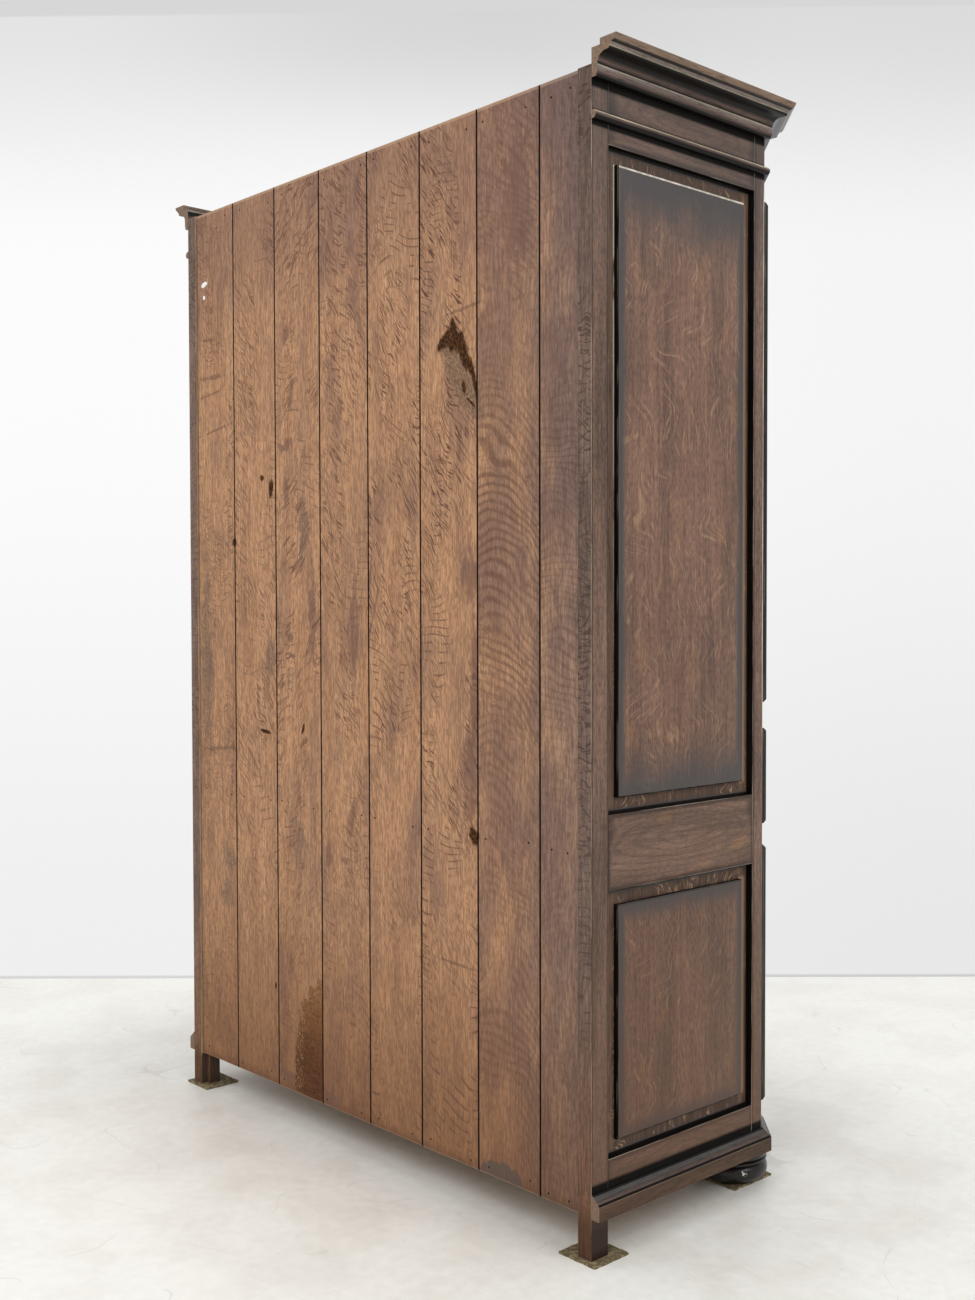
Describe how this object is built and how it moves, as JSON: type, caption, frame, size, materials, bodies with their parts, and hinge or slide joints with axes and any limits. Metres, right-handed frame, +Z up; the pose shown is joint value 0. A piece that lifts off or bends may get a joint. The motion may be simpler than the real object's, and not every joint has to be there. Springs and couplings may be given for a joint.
{
  "type": "wardrobe",
  "caption": "Tall two-door wardrobe with framed raised panels, canted front corners, a moulded cornice and plinth, bun feet in front and square legs behind.",
  "frame": {"origin": "on the floor, under the middle of the overall box", "axes": "+X to the wardrobe's right as seen from the front, +Y to its back, +Z up"},
  "size_m": [1.456, 0.629, 2.144],
  "materials": {
    "dark_oak": "dark brown stained oak, waxed to a soft shine, with near-black shading in the corners",
    "panel_oak": "dark reddish-brown stained oak field, near-black round its edges, waxed",
    "black_oak": "oak stained almost black, glossy",
    "back_oak": "bare warm tan quarter-sawn oak with grey-purple stains, matt",
    "inner_oak": "bare oak, matt",
    "steel": "aged steel",
    "brass": "aged brass",
    "felt": "olive-brown felt with frayed edges"
  },
  "bodies": {
    "carcass": {"left_rear_post": "dark_oak", "right_rear_post": "dark_oak", "left_corner_post": "dark_oak", "right_corner_post": "dark_oak", "left_side_rails": "dark_oak", "right_side_rails": "dark_oak", "front_top_rail": "dark_oak", "front_bottom_rail": "dark_oak", "centre_stile": "dark_oak", "left_cornice": "dark_oak", "right_cornice": "dark_oak", "front_cornice": "dark_oak", "bead_moulding": "dark_oak", "left_plinth": "dark_oak", "right_plinth": "dark_oak", "front_plinth": "dark_oak", "left_upper_panel": "panel_oak", "left_lower_panel": "panel_oak", "right_upper_panel": "panel_oak", "right_lower_panel": "panel_oak", "corner_blocks": "black_oak", "centre_blocks": "black_oak", "bun_feet": "black_oak", "back_board_1": "back_oak", "back_board_2": "back_oak", "back_board_3": "back_oak", "back_board_4": "back_oak", "back_board_5": "back_oak", "back_board_6": "back_oak", "back_board_7": "back_oak", "back_board_8": "back_oak", "back_rails": "inner_oak", "floor_board": "inner_oak", "roof_board": "inner_oak", "foot_blocks": "inner_oak", "hat_shelf": "inner_oak", "shelf_cleats": "inner_oak", "hanging_rod": "inner_oak", "post_hinge_halves": "steel", "rod_sockets": "brass", "felt_pads": "felt"},
    "left_door": {"left_door_stiles": "dark_oak", "left_door_rails": "dark_oak", "left_door_upper_panel": "panel_oak", "left_door_lower_panel": "panel_oak", "left_door_hinge_halves": "steel", "left_lock_case": "steel", "left_escutcheon": "brass"},
    "left_key": {"left_key": "steel"},
    "left_bolt": {"left_lock_bolt": "steel"},
    "right_door": {"right_door_stiles": "dark_oak", "right_door_rails": "dark_oak", "right_door_upper_panel": "panel_oak", "right_door_lower_panel": "panel_oak", "right_door_hinge_halves": "steel", "right_lock_case": "steel", "right_escutcheon": "brass"},
    "right_key": {"right_key": "steel"},
    "right_bolt": {"right_lock_bolt": "steel"}
  },
  "joints": [
    {"name": "left_door_hinge", "type": "hinge", "parent": "carcass", "child": "left_door", "pos_m": [-0.573, -0.2625, 1], "axis": [0, 0, -1], "range_deg": [0, 110]},
    {"name": "left_key_turn", "type": "hinge", "parent": "left_door", "child": "left_key", "pos_m": [-0.072, -0.2625, 0.727], "axis": [0, 1, 0], "range_deg": [0, 180]},
    {"name": "left_bolt_slide", "type": "slide", "parent": "left_door", "child": "left_bolt", "axis": [1, 0, 0], "range_m": [0, 0.014]},
    {"name": "right_door_hinge", "type": "hinge", "parent": "carcass", "child": "right_door", "pos_m": [0.573, -0.2625, 1], "axis": [0, 0, 1], "range_deg": [0, 110]},
    {"name": "right_key_turn", "type": "hinge", "parent": "right_door", "child": "right_key", "pos_m": [0.072, -0.2625, 0.727], "axis": [0, -1, 0], "range_deg": [0, 180]},
    {"name": "right_bolt_slide", "type": "slide", "parent": "right_door", "child": "right_bolt", "axis": [-1, 0, 0], "range_m": [0, 0.014]}
  ],
  "couplings": [
    {"joint": "left_key_turn", "follows": "left_bolt_slide", "rad_per_m": 224.4},
    {"joint": "right_key_turn", "follows": "right_bolt_slide", "rad_per_m": 224.4}
  ]
}
